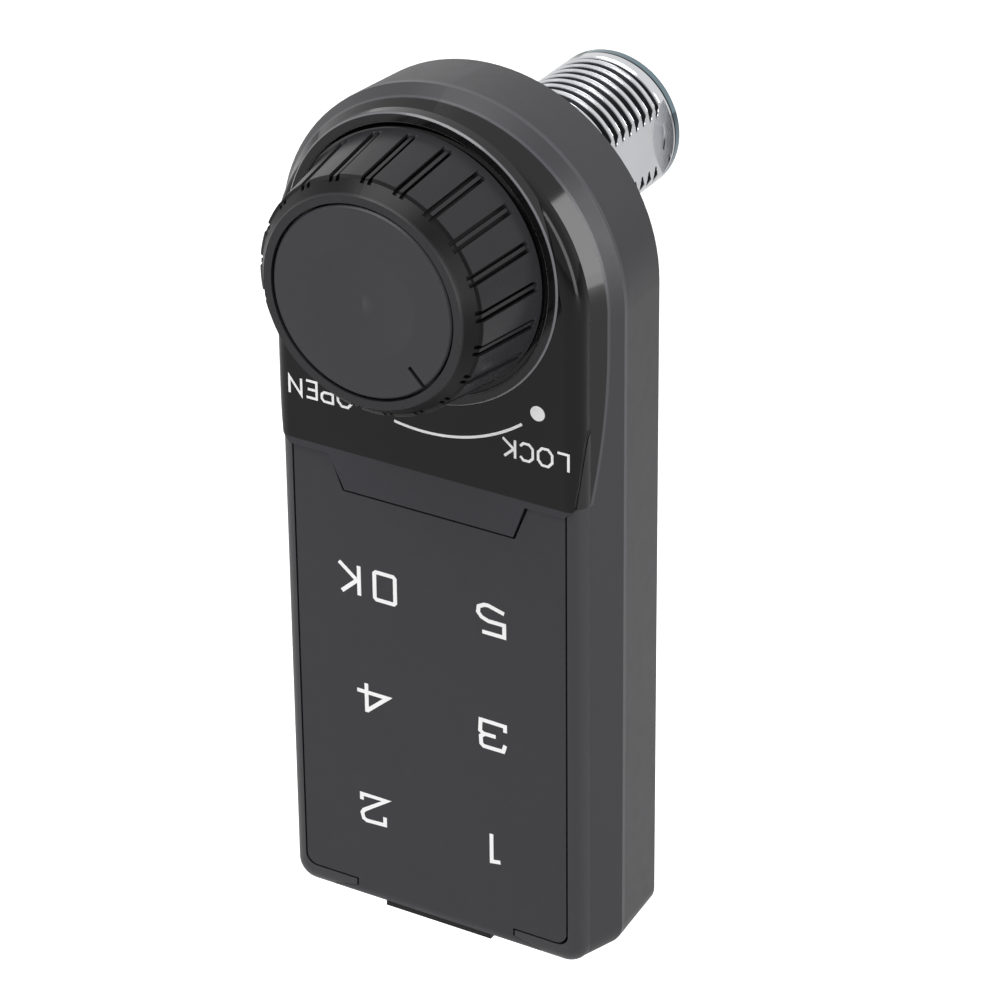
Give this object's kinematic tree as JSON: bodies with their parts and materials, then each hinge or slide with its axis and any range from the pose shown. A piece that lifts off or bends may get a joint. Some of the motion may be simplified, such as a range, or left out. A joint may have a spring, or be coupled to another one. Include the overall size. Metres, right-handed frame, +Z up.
{
  "type": "combination locker lock",
  "caption": "Electronic locker lock with a slim housing, a ribbed turning knob, a touch keypad and a threaded barrel with two flats behind.",
  "frame": {"origin": "on the barrel's axis, in the housing's back face", "axes": "+Y along the barrel into the door, +X to the right seen from the front, +Z up"},
  "size_m": [0.0484, 0.0653, 0.1158],
  "materials": {
    "housing_grey": "satin",
    "fascia_black": "high gloss",
    "keypad_charcoal": "matte",
    "knob_dark": "satin",
    "cap_dark": "satin",
    "lip_black": "semi-gloss",
    "barrel_chrome": "polished",
    "steel": "brushed",
    "zinc_screw": "zinc plated",
    "brass_part": "turned",
    "natural_plastic": "moulded",
    "black_plastic": "moulded",
    "cell_jacket": "printed film",
    "board_green": "solder mask",
    "copper_pad": "gold flash"
  },
  "bodies": {
    "housing": {"rear_housing": "housing_grey", "front_cover": "housing_grey", "head_fascia": "fascia_black", "trim_ring": "fascia_black", "knob_bush": "natural_plastic", "lock_barrel": "barrel_chrome", "stop_pin": "steel", "barrel_screws": "zinc_screw", "pin_guide": "natural_plastic", "guide_screws": "zinc_screw", "motor_case": "steel", "motor_strap": "steel", "strap_screws": "zinc_screw", "battery_tray": "black_plastic", "battery_left": "cell_jacket", "battery_right": "cell_jacket", "contact_bridge": "steel", "contact_plus": "steel", "contact_minus": "steel", "control_board": "board_green", "board_chips": "black_plastic", "buzzer": "black_plastic", "pin_header": "black_plastic", "sprung_pins": "copper_pad", "board_screws": "zinc_screw", "case_screws": "zinc_screw"},
    "knob": {"knob_body": "knob_dark", "knob_cap": "cap_dark", "knob_screw": "zinc_screw", "rotor": "steel", "locking_disc": "steel", "disc_spacer": "brass_part", "rotor_circlip": "steel"},
    "screw": {"lead_screw": "steel"},
    "pin": {"lock_pin": "brass_part"},
    "cover": {"keypad_cover": "keypad_charcoal", "release_lip": "lip_black", "touch_board": "board_green", "touch_pads": "copper_pad"}
  },
  "joints": [
    {"name": "knob_turn", "type": "hinge", "parent": "housing", "child": "knob", "pos_m": [0, 0, 0], "axis": [0, 1, 0], "range_deg": [0, 90]},
    {"name": "screw_spin", "type": "hinge", "parent": "housing", "child": "screw", "pos_m": [0, -0.0079, -0.03], "axis": [0, 0, 1], "range_deg": [0, 1080]},
    {"name": "pin_slide", "type": "slide", "parent": "housing", "child": "pin", "axis": [0, 0, 1], "range_m": [0, 0.003]},
    {"name": "cover_off", "type": "slide", "parent": "housing", "child": "cover", "axis": [0, -1, 0], "range_m": [0, 0.025]}
  ],
  "couplings": [
    {"joint": "screw_spin", "follows": "pin_slide", "rad_per_m": 6283.1}
  ]
}
